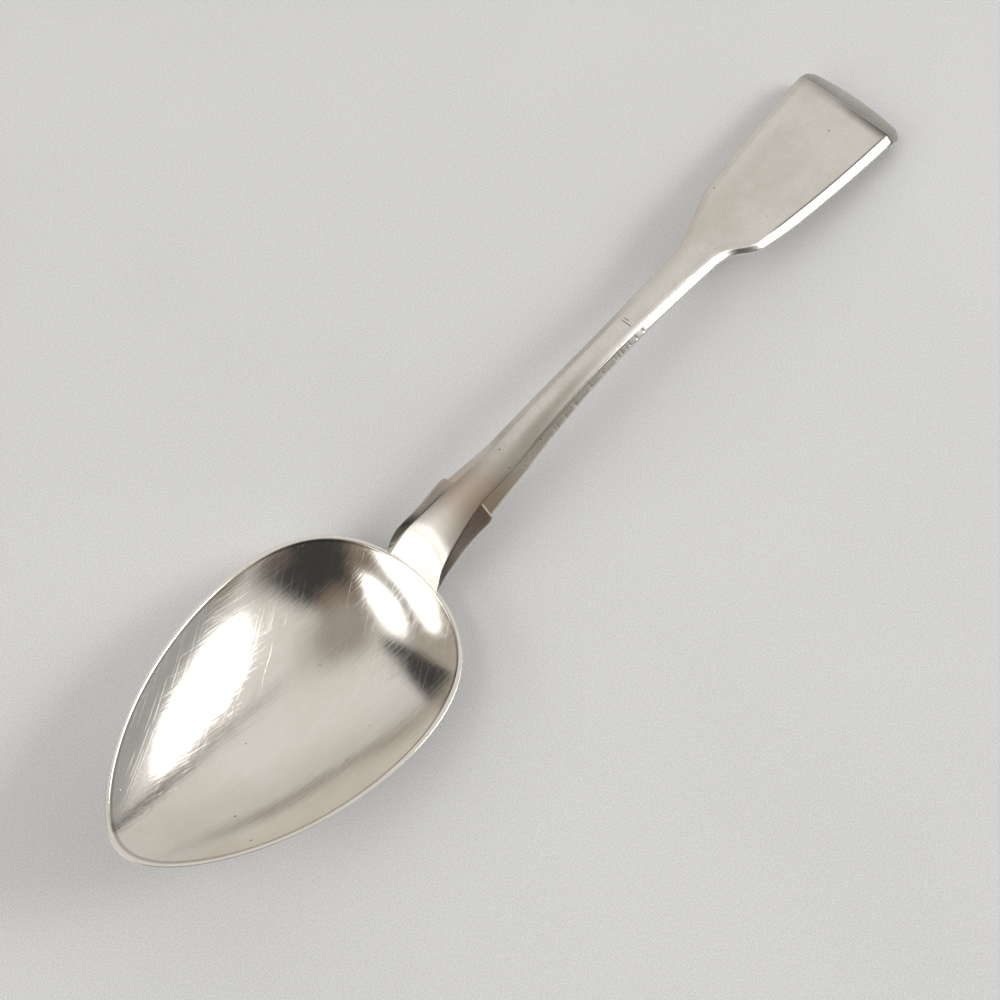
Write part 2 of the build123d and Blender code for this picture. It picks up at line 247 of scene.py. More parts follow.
def wavy(points):
    """The uneven surface left by hammer and wear, about a hundredth of a millimetre deep."""
    u, y = points[..., 0], points[..., 1]

    def wave(along, across, start):
        return np.sin(along * u + across * y + start)

    fade_out = np.clip(1 - np.hypot((u - DEEPEST) / RIPPLE_REACH[0], y / RIPPLE_REACH[1]) ** 4, 0, 1)
    ripple = BROAD_RIPPLE * wave(*BROAD_WAVE) * wave(*BROAD_CROSS_WAVE)
    ripple += SLANT_RIPPLE * wave(*SLANT_WAVE) + CROSS_RIPPLE * wave(*CROSS_WAVE)
    moved = points.copy()
    moved[..., 2] += ripple * fade_out
    return moved


inside = [wavy(dish_point(turns, s, RIM_EDGE, BOWL_DEPTH)) for s in inner_scales]
inner_edge = dish_point(turns, 1.0, RIM_EDGE, BOWL_DEPTH)
outer_edge = dish_point(turns, 1.0, 0.0, OUTER_DEPTH)
across_rim = outer_edge - inner_edge
rim_width = np.linalg.norm(across_rim, axis=-1, keepdims=True)
rounded = across_rim * np.minimum(RIM_ROUND / rim_width, RIM_ROUND_LIMIT)
top_in, top_out = inner_edge + rounded, outer_edge - rounded
outside = [dish_point(turns, s, 0.0, OUTER_DEPTH) for s in outer_scales]
bowl_rings = [
    *inside,
    *corner_round(inside[-1], inner_edge, top_in, RIM_ROUND_RINGS),
    top_in,
    (top_in + top_out) / 2,
    top_out,
    *corner_round(top_out, outer_edge, outside[0], RIM_ROUND_RINGS),
    *outside,
]
bowl_points = on_table(np.array(bowl_rings)).reshape(-1, 3)
bowl = mesh_object("bowl_silver_piece", bowl_points, tube_faces(len(bowl_rings), AROUND, closed=True))
bowl_skin = BVHTree.FromPolygons([Vector(p) for p in bowl_points],
                                 tube_faces(len(bowl_rings), AROUND, closed=False))
FAR_BELOW = -50.0


def bowl_underside(x, y):
    hit = bowl_skin.ray_cast(Vector((x, y, FAR_BELOW)), Vector((0, 0, 1)))[0]
    return hit.z if hit else rim_height(x)


# Places along the handle
LUGS = HEEL + NECK_LENGTH
CREST = HEEL + CREST_DISTANCE
SHOULDERS = LENGTH - FIDDLE_LENGTH
CREASE = LENGTH - TURN_LENGTH
DROP_END = HEEL - DROP_LENGTH
TONGUE = DROP_END + DROP_RADIUS
MOUTH = HEEL - MOUTH_REACH
NECK_MIDDLE = HEEL + NECK_MIDDLE_DISTANCE
CREST_HEIGHT = HEEL_HEIGHT + CREST_RISE
CREASE_HEIGHT = FIDDLE_THICKNESS + TURN_DROP


def arch(share):
    """Height of the front, share of the way from the crest to the crease."""
    return CREASE_HEIGHT + (CREST_HEIGHT - CREASE_HEIGHT) * ((1 - share) + (1 + cos(pi * share)) / 2) / 2


CAVITY_EDGE = (BOWL_LENGTH - RIM_EDGE) * cos(TILT)
front = through([
    (CAVITY_EDGE + LIP, rim_height(CAVITY_EDGE + LIP) + HAIR),
    (HEEL + NECK_FOOT_DISTANCE, HEEL_HEIGHT + NECK_FOOT_RISE),
    (HEEL + NECK_BEND_DISTANCE, HEEL_HEIGHT + NECK_BEND_RISE),
    (HEEL + NECK_TURN_DISTANCE, HEEL_HEIGHT + NECK_TURN_RISE),
    (NECK_MIDDLE, HEEL_HEIGHT + NECK_MIDDLE_RISE),
    (LUGS, HEEL_HEIGHT + NECK_RISE),
    (CREST, CREST_HEIGHT),
    (CREST + (CREASE - CREST) / 3, arch(1 / 3)),
    (CREST + (CREASE - CREST) * 2 / 3, arch(2 / 3)),
    (CREASE, CREASE_HEIGHT),
])
neck_back_half = through([
    (DROP_END, DROP_RADIUS),
    (TONGUE, DROP_RADIUS),
    (HEEL, NECK_FOOT_WIDTH / 2),
    (NECK_MIDDLE, NECK_WAIST_WIDTH / 2),
    (LUGS, LUG_WIDTH / 2),
])
neck_back = through([
    (DROP_END, TIP_HEIGHT - float(np.interp(DROP_END, heel_place, heel_drop)) - DROP_THICKNESS),
    (HEEL, HEEL_HEIGHT - NECK_FOOT_THICKNESS),
    (NECK_MIDDLE, front(NECK_MIDDLE) - NECK_THICKNESS),
    (LUGS, front(LUGS) - NECK_THICKNESS),
])
stem_front_half = through([
    (LUGS, LUG_FRONT_WIDTH / 2),
    ((LUGS + SHOULDERS) / 2, STEM_WAIST_WIDTH / 2),
    (SHOULDERS - SHOULDER_RUN, STEM_TOP_WIDTH / 2),
])
thickness = through([
    (LUGS, STEM_ROOT_THICKNESS),
    (CREST, STEM_THICKNESS),
    (SHOULDERS, FIDDLE_THICKNESS),
    (CREASE, FIDDLE_THICKNESS),
])


def blend(x, stem_value, fiddle_value):
    """The stem's value, changing to the fiddle's at the shoulders."""
    share = ease(x, SHOULDERS - SHOULDER_RUN / 2, SHOULDERS + SHOULDER_RUN * 3 / 2)
    return stem_value + (fiddle_value - stem_value) * share


def fiddle_half(x):
    """Half-width of the fiddle's front."""
    share = (x - SHOULDERS) / (CREASE - SHOULDERS)
    straight = SHOULDER_WIDTH + (FIDDLE_END_WIDTH - SHOULDER_WIDTH) * share
    return straight / 2 + FIDDLE_SWELL * 4 * share * (1 - share)


def neck_belly(x):
    return DROP_BELLY + (NECK_BELLY - DROP_BELLY) * ease(x, TONGUE, LUGS)


# A ring of the handle goes round: front from right to left, left side, left edge, back, right edge and
# right side
FRONT_COUNT, SIDE_COUNT, WALL_COUNT, BACK_COUNT, ROUND_COUNT = 23, 5, 3, 19, 4
COUNTS = (FRONT_COUNT, SIDE_COUNT, WALL_COUNT, BACK_COUNT, WALL_COUNT, SIDE_COUNT)
LENGTH_SAMPLES = 9          # points on a curve for its length
TINY = 1e-6


def line(a, b):
    a, b = np.asarray(a, float), np.asarray(b, float)
    return lambda t: a + (b - a) * t.reshape(-1, 1)


def arc(a, control, b):
    a, control, b = (np.asarray(p, float) for p in (a, control, b))
    return lambda t: bow(a, control, b, t.reshape(-1, 1))


def curve_length(curve):
    steps = np.diff(curve(np.linspace(0, 1, LENGTH_SAMPLES)), axis=0)
    return max(np.linalg.norm(steps, axis=1).sum(), TINY)


def closed_ring(curves, rounds):
    """One ring through six curves. rounds[i] is the rounding between curve i and the next."""
    ends = np.array([0.0, 1.0])
    lengths = [curve_length(curve) for curve in curves]
    pieces = []
    for i, curve in enumerate(curves):
        after = (i + 1) % len(curves)
        start = min(ROUND_LIMIT, rounds[i - 1] / lengths[i])
        end = 1 - min(ROUND_LIMIT, rounds[i] / lengths[i])
        pieces.append(curve(np.linspace(start, end, COUNTS[i])))
        next_start = min(ROUND_LIMIT, rounds[i] / lengths[after])
        first = curve(np.array([end]))
        corner = curve(ends)[1:]
        last = curves[after](np.array([next_start]))
        pieces.append(corner_round(first, corner, last, ROUND_COUNT)[:, 0])
    return np.concatenate(pieces)


def flat_ring(x, front_half, back_half, front_height, crown, drop, wall, back, rounds, left_share):
    """A ring of stem, fiddle or strip. The left side falls by its share of the right side's drop."""
    edge = front_height - crown
    ridge = edge - drop
    foot = ridge - wall
    front_left, front_right = (x, front_half, edge), (x, -front_half, edge)
    ridge_left, ridge_right = (x, back_half, edge - drop * left_share), (x, -back_half, ridge)
    foot_left, foot_right = (x, back_half, foot), (x, -back_half, foot)
    return closed_ring([
        arc(front_right, (x, 0, front_height + crown), front_left),
        line(front_left, ridge_left),
        line(ridge_left, foot_left),
        arc(foot_left, (x, 0, 2 * back - foot), foot_right),
        line(foot_right, ridge_right),
        line(ridge_right, front_right),
    ], rounds)


def neck_ring(front_curve, x, rounds):
    """A ring whose front is a given curve and whose back is that of the neck at x."""
    half = neck_back_half(x) - LUG_ROUND * ease(x, LUGS - LUG_ROUND_RUN, LUGS) ** 2
    foot = neck_back(x) + neck_belly(x)
    right, left = front_curve(np.array([0.0, 1.0]))
    ridge = left[2] - WALL_SLOPE * (half - left[1])
    if x < HEEL:
        ridge = min(ridge, bowl_underside(x, half) + INSIDE_WALL)
    ridge = max(ridge, foot + EDGE_WALL)
    ridge_left, ridge_right = (x, half, ridge), (x, -half, ridge)
    foot_left, foot_right = (x, half - UNDERCUT, foot), (x, UNDERCUT - half, foot)
    return closed_ring([
        front_curve,
        line(left, ridge_left),
        line(ridge_left, foot_left),
        arc(foot_left, (x, 0, 2 * neck_back(x) - foot), foot_right),
        line(foot_right, ridge_right),
        line(ridge_right, right),
    ], rounds)


# Drop: its top is inside the bowl's wall, its back below the bowl
FIRST_ANGLE, DROP_RINGS, TOP_POINTS = 4.0, 18, 9


def hidden_top(x, half):
    """The drop's top at x, as a curve through points inside the bowl's wall."""
    across = np.linspace(-half, half, TOP_POINTS)
    points = np.array([(x, y, bowl_underside(x, y) + INSIDE_WALL) for y in across])
    places = np.arange(TOP_POINTS)
    return lambda t: np.stack([np.interp(t * (TOP_POINTS - 1), places, axis) for axis in points.T], axis=-1)


def drop_ring(angle):
    """A ring of the drop's round end, at an angle from its tip."""
    x = TONGUE - DROP_RADIUS * cos(radians(angle))
    half = DROP_RADIUS * sin(radians(angle))
    tip = max(0.0, 1 - (x - DROP_END) / END_ROUND)
    lift = END_ROUND * (1 - (1 - tip ** 2) ** 0.5)
    foot = neck_back(x) + neck_belly(x) + lift
    top = hidden_top(x, half)
    right, left = top(np.array([0.0, 1.0]))
    middle = (left[2] + foot) / 2
    return closed_ring([
        top,
        line(left, (x, half, middle)),
        line((x, half, middle), (x, half, foot)),
        arc((x, half, foot), (x, 0, 2 * (neck_back(x) + lift) - foot), (x, -half, foot)),
        line((x, -half, foot), (x, -half, middle)),
        line((x, -half, middle), right),
    ], (0, 0, NECK_BACK_ROUND, NECK_BACK_ROUND, 0, 0))


rings = [drop_ring(angle) for angle in np.linspace(FIRST_ANGLE, 90, DROP_RINGS)]


# Neck: its front covers the rim's top at the heel and narrows to the lugs
RIM_SAMPLES = 721
rim_turns = np.linspace(pi / 2, 3 * pi / 2, RIM_SAMPLES)
inner_rim = on_table(dish_point(rim_turns, 1.0, RIM_EDGE, BOWL_DEPTH))
inner_rim = inner_rim[np.argsort(inner_rim[:, 1])]


def rim_place(y):
    """Where the hollow ends at the heel, at y across it."""
    return np.interp(y, inner_rim[:, 1], inner_rim[:, 0])


def soft_edge(x):
    """Rounding of the front's edges, crisper along the lower stem."""
    crisp = ease(x, LUGS - CRISP_START, LUGS) * (1 - ease(x, CREST, CREST + CRISP_END))
    return EDGE_ROUND - (EDGE_ROUND - CRISP_ROUND) * crisp


def neck_rounds(front_round, side_round):
    return front_round, side_round, NECK_BACK_ROUND, NECK_BACK_ROUND, side_round, front_round


def neck_half(x):
    """Half-width of the neck's front, which flares to the tongue's width at the rim."""
    edge = LUG_FRONT_WIDTH / 2 + NECK_SPREAD * (LUGS - x)
    return edge + fade(x, MOUTH, LUGS, MOUTH_RUN) * (NECK_MOUTH_WIDTH / 2 - edge)


def front_from(center, lower=0.0):
    """The front, bowed like the rim: all its places stand as high above the rim's plane as its middle."""
    half = neck_half(center)
    level = rim_height(center) + HAIR if center < CAVITY_EDGE + LIP else front(center)
    rise = level - rim_height(center) - lower
    crown = STEM_CROWN * ease(center, HEEL, HEEL + CROWN_RUN)
    follow = 1 - ease(center, HEEL, HEEL + MOUTH_FOLLOW)

    def points(t):
        v = 2 * t - 1
        y = v * half - LEFT_SHORT * fade(center, MOUTH, LUGS, MOUTH_RUN) * np.maximum(v, 0)
        x = center + follow * (rim_place(y) - CAVITY_EDGE)
        return np.stack([x, y, rim_height(x) + rise - crown * v ** 2], axis=-1)

    return points


def in_wall(share):
    """A curve inside the bowl's wall, between the drop's hidden top and the rim."""
    def points(t):
        v = 2 * t - 1
        y = v * (DROP_RADIUS + (neck_half(CAVITY_EDGE) - DROP_RADIUS) * share)
        x = TONGUE + (rim_place(y) + HIDDEN_INSET - TONGUE) * share
        z = [bowl_underside(a, b) + INSIDE_WALL for a, b in zip(x, y)]
        return np.stack([x, y, np.minimum(z, rim_height(x) - RIM_COVER)], axis=-1)

    return points


IN_WALL_SHARES = (0.25, 0.5, 0.75, 0.95)
SUNK_PLACE, OPEN_PLACE = 0.03, 0.08         # the front starts here beyond the hollow, sunk and then in sight
MOUTH_RINGS, NECK_RINGS = 44, 38
for count, share in enumerate(IN_WALL_SHARES, start=1):
    back_x = TONGUE + (MOUTH - TONGUE) * count / len(IN_WALL_SHARES)
    rings.append(neck_ring(in_wall(share), back_x, neck_rounds(HIDDEN_ROUND, HIDDEN_ROUND)))
sunk_front = front_from(CAVITY_EDGE + SUNK_PLACE, MOUTH_SINK)
rings.append(neck_ring(sunk_front, MOUTH + MOUTH_STEP, neck_rounds(MOUTH_ROUND, HIDDEN_ROUND)))
mouth_places = np.linspace(MOUTH + 2 * MOUTH_STEP, NECK_MIDDLE, MOUTH_RINGS)
mouth_centers = np.linspace(CAVITY_EDGE + OPEN_PLACE, NECK_MIDDLE, MOUTH_RINGS)
for x, center in zip(mouth_places, mouth_centers):
    rings.append(neck_ring(front_from(center), x, neck_rounds(soft_edge(x), NECK_SIDE_ROUND)))
for x in np.linspace(NECK_MIDDLE, LUGS - LUG_GAP, NECK_RINGS)[1:]:
    rings.append(neck_ring(front_from(x), x, neck_rounds(soft_edge(x), NECK_SIDE_ROUND)))


def outline(x):
    """Half-width of the front, from the lugs to the crease."""
    if x >= SHOULDERS:
        return fiddle_half(x)
    swell = max(x - SHOULDERS + SHOULDER_RUN, 0) / SHOULDER_RUN
    narrow = stem_front_half(min(x, SHOULDERS - SHOULDER_RUN))
    return narrow + (SHOULDER_WIDTH / 2 - narrow) * swell ** 2


WEAR_SAMPLES = 13


def worn(ring, x, half):
    """The ring with both shoulders worn, the left one softer and fuller."""
    run_in = ease(x, LUGS, LUGS + WEAR_IN)
    run_out = 1 - ease(x, CREASE - WEAR_OUT, CREASE - WEAR_STOP)
    spread = np.linspace(-1, 1, WEAR_SAMPLES) * run_in * run_out
    left = np.mean([outline(x + WEAR_RUN * d) for d in spread])
    left += SHOULDER_WEAR * exp(-((x - WEAR_PLACE) / WEAR_RUN) ** 2)
    right = np.mean([outline(x + RIGHT_WEAR_RUN * d) for d in spread])
    share = np.clip(ring[:, 1] / half, -1, 1)
    moved = ring.copy()
    moved[:, 1] += np.where(share > 0, left - half, right - half) * share
    return moved


# Places of the nicks along the stem's right side
NICKS = (71.9, 72.4, 74.0, 75.8, 76.1, 79.1, 81.5, 84.1, 84.6, 85.3, 86.2, 86.9, 88.2, 89.6)
NICK_DEPTH, NICK_LENGTH, NICK_REACH = 0.065, 0.15, 0.22
NICK_PLACE = 0.6            # how far down the side they are


def nicked(ring, x, y, z):
    """The ring at x with the nicks around y and z pressed in."""
    nick = NICK_DEPTH * sum(exp(-((x - place) / NICK_LENGTH) ** 2) for place in NICKS)
    near = np.exp(-((ring[:, 1] - y) ** 2 + (ring[:, 2] - z) ** 2) / NICK_REACH ** 2)
    moved = ring.copy()
    moved[:, 1] += nick * near
    moved[:, 2] -= nick * near
    return moved


def flat_rounds(front_round):
    return front_round, STEM_SIDE_ROUND, STEM_BACK_ROUND, STEM_BACK_ROUND, STEM_SIDE_ROUND, front_round


def stem_ring(x):
    """A ring of the stem or the fiddle."""
    half = outline(x)
    root = fade(x, LUGS, SHOULDERS, ROOT_RUN) if x < SHOULDERS else 0.0
    root_side = (STEM_ROOT_WIDTH - LUG_FRONT_WIDTH) / 2
    side = blend(x, STEM_SIDE_WIDTH, FIDDLE_SIDE_WIDTH) + root * (root_side - STEM_SIDE_WIDTH)
    stem_drop = LOWER_SIDE_DROP + (STEM_SIDE_DROP - LOWER_SIDE_DROP) * ease(x, WHITE_START, WHITE_FULL)
    drop = blend(x, stem_drop, FIDDLE_SIDE_DROP) + root * (ROOT_SIDE_DROP - stem_drop)
    drop *= 1 + SHOULDER_DIP * exp(-((x - SHOULDERS - DIP_PLACE) / DIP_LENGTH) ** 2)
    crown = blend(x, STEM_CROWN, FRONT_CROWN)
    left_share = 1 + (LEFT_SIDE_SHARE - 1) * ease(x, LUGS, LUGS + LEFT_SIDE_RUN)
    ring = flat_ring(x, half, half + side, front(x), crown, drop, EDGE_WALL, front(x) - thickness(x),
                     flat_rounds(soft_edge(x)), left_share)
    return nicked(worn(ring, x, half), x, -half - NICK_PLACE * side, front(x) - crown - NICK_PLACE * drop)


# Step from the lugs to the stem
STEP_RINGS = 6
lug_ring, root_ring = rings[-1], stem_ring(LUGS + LUG_STEP)
for share in np.linspace(0, 1, STEP_RINGS + 2)[1:-1]:
    mixed = lug_ring + (root_ring - lug_ring) * ease(share, 0, 1)
    even = lug_ring + (root_ring - lug_ring) * share
    mixed[:, 0] = even[:, 0]
    mixed[:FRONT_COUNT] = even[:FRONT_COUNT]
    rings.append(mixed)

# Stem and fiddle, with close rings for the nicks and the shoulders
STEM_RINGS, SHOULDER_RINGS, FIDDLE_RINGS = 420, 44, 70
SHOULDERS_END = SHOULDERS + 1.5
stem_places = np.concatenate([
    np.linspace(LUGS + LUG_STEP, SHOULDERS - SHOULDER_RUN, STEM_RINGS),
    np.linspace(SHOULDERS - SHOULDER_RUN, SHOULDERS_END, SHOULDER_RINGS)[1:],
    np.linspace(SHOULDERS_END, CREASE - BEND_ROUND, FIDDLE_RINGS)[1:],
])
rings += [stem_ring(x) for x in stem_places]

# The turned-down strip, cut to the bowed end with its round corners
BEND_RINGS, STRIP_RINGS, END_ROUND_RINGS = 24, 11, 6
crease_ring = stem_ring(CREASE)
crease_half = fiddle_half(CREASE)
end_wall = FIDDLE_THICKNESS - FRONT_CROWN - FIDDLE_SIDE_DROP - END_BELLY
end_ring = flat_ring(LENGTH, crease_half, crease_half + FIDDLE_SIDE_WIDTH, FIDDLE_THICKNESS, FRONT_CROWN,
                     FIDDLE_SIDE_DROP, end_wall, 0.0, flat_rounds(EDGE_ROUND), LEFT_SIDE_SHARE)
end_half = crease_half + FIDDLE_SIDE_WIDTH + END_SIDE
corner_y = end_half - END_CORNER
corner_x = LENGTH - END_BOW * (corner_y / end_half) ** 2 - END_CORNER


def end_place(y):
    y = np.abs(y)
    bowed = LENGTH - END_BOW * (y / end_half) ** 2
    rounded = corner_x + np.sqrt(np.maximum(END_CORNER ** 2 - np.maximum(y - corner_y, 0) ** 2, 0))
    return np.where(y > corner_y, np.minimum(rounded, bowed), bowed)


def strip_ring(share, inset=0.0):
    """A ring of the strip, share of the way from the crease to the end, its outline drawn in by inset."""
    y = end_ring[:, 1]
    x = CREASE + share * (end_place(y) - CREASE)
    along = (x - CREASE) / TURN_LENGTH
    ring = crease_ring + (end_ring - crease_ring) * along.reshape(-1, 1)
    ring[:, 0] = x
    middle = (ring[:, 2].min() + ring[:, 2].max()) / 2
    ring[:, 2] += np.clip(middle - ring[:, 2], -inset, inset)
    ring[:, 1] *= 1 - inset / end_half
    return ring


before, after = stem_ring(CREASE - BEND_ROUND), strip_ring(BEND_ROUND / TURN_LENGTH)
for t in np.linspace(0, 1, BEND_RINGS + 1)[1:]:
    bend = bow(before, crease_ring, after, t)
    bend[:FRONT_COUNT, 2] -= CREASE_DEPTH * exp(-((bend[FRONT_COUNT // 2, 0] - CREASE) / CREASE_WIDTH) ** 2)
    rings.append(bend)
edge_share = END_ROUND / TURN_LENGTH
for share in np.linspace(BEND_ROUND / TURN_LENGTH, 1 - edge_share, STRIP_RINGS + 1)[1:]:
    rings.append(strip_ring(share))
for angle in np.linspace(0, pi / 2, END_ROUND_RINGS + 1)[1:]:
    rings.append(strip_ring(1 - edge_share * (1 - sin(angle)), END_ROUND * (1 - cos(angle))))

handle_points = np.array(rings)
places = handle_points[..., 0]
lean = ease(places, MOUTH, HEEL + LEAN_IN) * (1 - ease(places, LUGS - LEAN_OUT, LUGS + LEAN_END))
handle_points[..., 1] += NECK_LEAN * lean
ring_count, ring_size = handle_points.shape[:2]
handle = mesh_object("handle_silver_piece", handle_points.reshape(-1, 3),
                     tube_faces(ring_count, ring_size, closed=True))


# Finishes: places in them are in millimetres, with x from the middle of the spoon's length
def add(tree, kind, **values):
    """One step of a finish, with some of its values given by name."""
    node = tree.nodes.new(kind)
    for name, value in values.items():
        if name in node.inputs:
            node.inputs[name].default_value = value
        else:
            setattr(node, name, value)
    return node


def math_node(tree, operation, a, b=None, c=None):
    node = tree.nodes.new("ShaderNodeMath")
    node.operation = operation
    for socket, value in zip(node.inputs, (a, b, c)):
        if value is None:
            continue
        if isinstance(value, bpy.types.NodeSocket):
            tree.links.new(value, socket)
        else:
            socket.default_value = value
    return node.outputs[0]


def ranged(tree, value, low, high, to_low=0.0, to_high=1.0):
    """to_low up to low and to_high from high on, with a smooth change between."""
    node = tree.nodes.new("ShaderNodeMapRange")
    node.interpolation_type = "SMOOTHSTEP"
    tree.links.new(value, node.inputs["Value"])
    for name, number in (("From Min", low), ("From Max", high), ("To Min", to_low), ("To Max", to_high)):
        node.inputs[name].default_value = number
    return node.outputs["Result"]


def within(tree, value, low, high, soft):
    """1 between low and high, fading to 0 over soft to each side of both."""
    rise = ranged(tree, value, low - soft, low + soft)
    fall = ranged(tree, value, high - soft, high + soft, 1.0, 0.0)
    return math_node(tree, "MULTIPLY", rise, fall)


def millimetres(tree):
    """The place on the object."""
    coordinates = add(tree, "ShaderNodeTexCoord")
    scale = add(tree, "ShaderNodeVectorMath", operation="SCALE")
    scale.inputs["Scale"].default_value = 1 / MM
    tree.links.new(coordinates.outputs["Object"], scale.inputs[0])
    return scale.outputs[0]


def stretched_noise(tree, place, scales, detail, roughness=0.55, turn=0.0):
    """Noise with so many cells per millimetre along x, y and z, turned about z by some degrees."""
    turned = add(tree, "ShaderNodeVectorRotate", rotation_type="Z_AXIS", Angle=radians(turn))
    tree.links.new(place, turned.inputs["Vector"])
    mapping = add(tree, "ShaderNodeMapping")
    mapping.inputs["Scale"].default_value = scales
    tree.links.new(turned.outputs[0], mapping.inputs["Vector"])
    noise = add(tree, "ShaderNodeTexNoise", Scale=1.0, Detail=detail, Roughness=roughness)
    tree.links.new(mapping.outputs[0], noise.inputs["Vector"])
    return noise.outputs["Fac"]


def mixed_color(tree, share, a, b):
    node = tree.nodes.new("ShaderNodeMix")
    node.data_type = "RGBA"
    tree.links.new(share, node.inputs["Factor"])
    for socket, value in ((node.inputs["A"], a), (node.inputs["B"], b)):
        if isinstance(value, bpy.types.NodeSocket):
            tree.links.new(value, socket)
        else:
            socket.default_value = (*value, 1.0)
    return node.outputs["Result"]


# Painted shade and real cuts, each as a share of the surface's colour
CREASE_CORE, CREASE_SHADE_WIDTH = 0.04, 0.26
GATHER_RUN, GATHER_SHADE, GATHER_EDGE = 1.8, 0.9, 0.05       # painted shade that gathers before the crease
CREASE_SHADE_HALF, CREASE_SHADE_LEFT = 6.0, 0.3               # thinner towards the left
STRIP_SHADE_START, STRIP_SHADE_END = 0.3, 3.0                 # painted shade on the turned-down strip, thinner towards the end
STRIP_SHADE, STRIP_END_SHADE = 0.6, 0.34
SHADE_EDGE = 0.06            # the painted shade on the fiddle's edge is full up to this far from it
FIDDLE_SHADE_WIDTH, FIDDLE_EDGE_SHADE = 0.34, 0.85
FIDDLE_SHADE_START, FIDDLE_SHADE_FULL, FIDDLE_SHADE_END = 0.08, 0.2, 0.98      # shares of the fiddle's length
# painted shade along the right edge and side of the lower stem
STEM_SHADE_EDGE, STEM_SHADE_WIDTH, STEM_EDGE_SHADE, STEM_SIDE_SHADE = 0.05, 0.3, 0.6, 0.22
STEM_SHADE_START, STEM_SHADE_END, STEM_SHADE_FADE = LUGS + 8.0, WHITE_START + 3.0, 3.0
STEM_SIDE_FADE = 0.12
STEM_CUTS = ((88.68, -0.58, 0.88), (89.14, 0.15, 0.86))     # along the stem, then from and to across it
CUT_CORE, CUT_WIDTH, CUT_FADE, CUT_DARK = 0.03, 0.11, 0.12, 0.9
# painted shade along both edges of the bowl's rim, which darkens the reflections there
RIM_SHADE_TOP, RIM_SHADE_FOOT, RIM_SHADE_FADE, RIM_SHADE = 0.1, 0.3, 0.1, 0.42
# painted shade in the corner between the neck's left side and the bowl
CORNER_START, CORNER_END, CORNER_SHADE = HEEL + 2.5, HEEL + 6.0, 0.85
CORNER_INNER, CORNER_OUTER = 3.62, 3.85


def crease_painted_shade(tree, x, y):
    """Painted shade in the crease of the handle's end, thicker on the right, thinner before it and beyond it.
    """
    beyond = math_node(tree, "SUBTRACT", x, CREASE - MIDDLE)
    crease = ranged(tree, math_node(tree, "ABSOLUTE", beyond), CREASE_CORE, CREASE_SHADE_WIDTH, 1.0, 0.0)
    gathered = ranged(tree, beyond, -GATHER_RUN, 0.0, 0.0, GATHER_SHADE)
    before = math_node(tree, "MULTIPLY", gathered, ranged(tree, beyond, -GATHER_EDGE, GATHER_EDGE, 1.0, 0.0))
    on_right = ranged(tree, y, -CREASE_SHADE_HALF, CREASE_SHADE_HALF, 1.0, CREASE_SHADE_LEFT)
    film = math_node(tree, "MULTIPLY", math_node(tree, "MAXIMUM", crease, before), on_right)
    thinning = ranged(tree, beyond, STRIP_SHADE_START, STRIP_SHADE_END, STRIP_SHADE, STRIP_END_SHADE)
    strip = math_node(tree, "MULTIPLY", ranged(tree, beyond, 0.0, STRIP_SHADE_START), thinning)
    return math_node(tree, "MAXIMUM", film, strip)


def edge_painted_shade(tree, x, y):
    """Painted shade: a thin dark line along the fiddle's right edge."""
    from_shoulders = math_node(tree, "SUBTRACT", x, SHOULDERS - MIDDLE)
    share = math_node(tree, "DIVIDE", from_shoulders, CREASE - SHOULDERS)
    widening = (FIDDLE_END_WIDTH - SHOULDER_WIDTH) / 2 + 4 * FIDDLE_SWELL
    bowed = math_node(tree, "MULTIPLY_ADD", share, -4 * FIDDLE_SWELL, widening)
    half = math_node(tree, "MULTIPLY_ADD", share, bowed, SHOULDER_WIDTH / 2)
    aside = math_node(tree, "ABSOLUTE", math_node(tree, "ADD", y, half))
    film = ranged(tree, aside, SHADE_EDGE, FIDDLE_SHADE_WIDTH, FIDDLE_EDGE_SHADE, 0.0)
    begin = ranged(tree, share, FIDDLE_SHADE_START, FIDDLE_SHADE_FULL)
    length = math_node(tree, "MULTIPLY", begin, ranged(tree, share, FIDDLE_SHADE_END, 1.0, 1.0, 0.0))
    return math_node(tree, "MULTIPLY", film, length)


def stem_painted_shade(tree, x, y):
    """Painted shade on the right edge and side of the lower stem, whose half-width is nearly a parabola."""
    places = np.array([LUGS, (LUGS + SHOULDERS) / 2, SHOULDERS - SHOULDER_RUN]) - MIDDLE
    halves = np.array([LUG_FRONT_WIDTH, STEM_WAIST_WIDTH, STEM_TOP_WIDTH]) / 2
    square, slope, level = np.polyfit(places, halves, 2)
    half = math_node(tree, "MULTIPLY_ADD", math_node(tree, "MULTIPLY_ADD", x, square, slope), x, level)
    inward = math_node(tree, "ADD", y, half)
    aside = math_node(tree, "ABSOLUTE", inward)
    edge = ranged(tree, aside, STEM_SHADE_EDGE, STEM_SHADE_WIDTH, STEM_EDGE_SHADE, 0.0)
    on_side = within(tree, inward, -STEM_SIDE_WIDTH, 0.0, STEM_SIDE_FADE)
    side = math_node(tree, "MULTIPLY", on_side, STEM_SIDE_SHADE)
    length = within(tree, x, STEM_SHADE_START - MIDDLE, STEM_SHADE_END - MIDDLE, STEM_SHADE_FADE)
    return math_node(tree, "MULTIPLY", math_node(tree, "MAXIMUM", edge, side), length)


def cuts(tree, x, y):
    """Two short scratches across the stem."""
    marks = []
    for place, low, high in STEM_CUTS:
        aside = math_node(tree, "ABSOLUTE", math_node(tree, "SUBTRACT", x, place - MIDDLE))
        mark = ranged(tree, aside, CUT_CORE, CUT_WIDTH, CUT_DARK, 0.0)
        marks.append(math_node(tree, "MULTIPLY", mark, within(tree, y, low, high, CUT_FADE)))
    return math_node(tree, "MAXIMUM", *marks)


def corner_painted_shade(tree, x, y):
    """Painted shade on the neck's left side, in the corner by the bowl."""
    along = ranged(tree, x, CORNER_START - MIDDLE, CORNER_END - MIDDLE, CORNER_SHADE, 0.0)
    return math_node(tree, "MULTIPLY", along, ranged(tree, y, CORNER_INNER, CORNER_OUTER))


